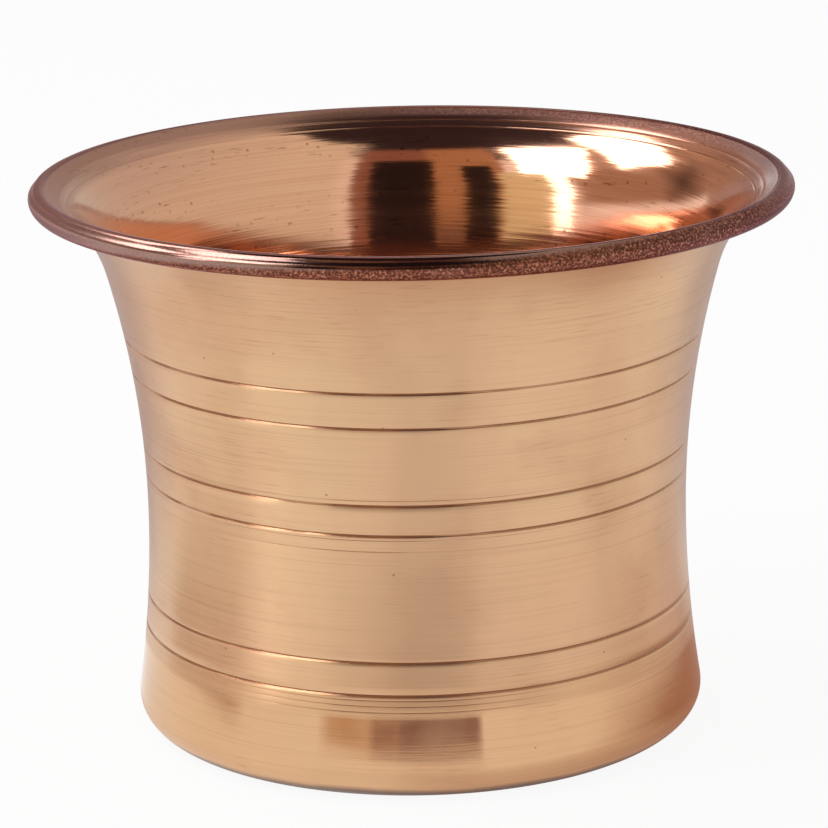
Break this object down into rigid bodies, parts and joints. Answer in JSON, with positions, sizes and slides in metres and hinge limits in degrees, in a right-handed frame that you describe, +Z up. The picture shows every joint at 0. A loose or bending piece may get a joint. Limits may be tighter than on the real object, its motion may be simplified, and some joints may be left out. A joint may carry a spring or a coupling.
{
  "type": "panchpatra",
  "caption": "Small flared copper water cup with a waisted spun wall, scribed ring lines, a wire-rolled rim and a flat brazed base, standing free on its foot.",
  "frame": {"origin": "centre of the foot, on the surface that the cup stands on", "axes": "+Z up along the cup's axis, towards the rim"},
  "size_m": [0.076, 0.076, 0.0557],
  "materials": {
    "spun_copper": "satin lathe-turned copper outside, polished copper inside, darkened grainy rim",
    "core_wire": "plain drawn copper wire",
    "base_copper": "satin copper sheet with ring marks",
    "braze": "dull cast brazing brass"
  },
  "bodies": {
    "root": {"side_wall": "spun_copper", "rim_wire": "core_wire", "base_disc": "base_copper", "base_braze": "braze"}
  },
  "joints": []
}
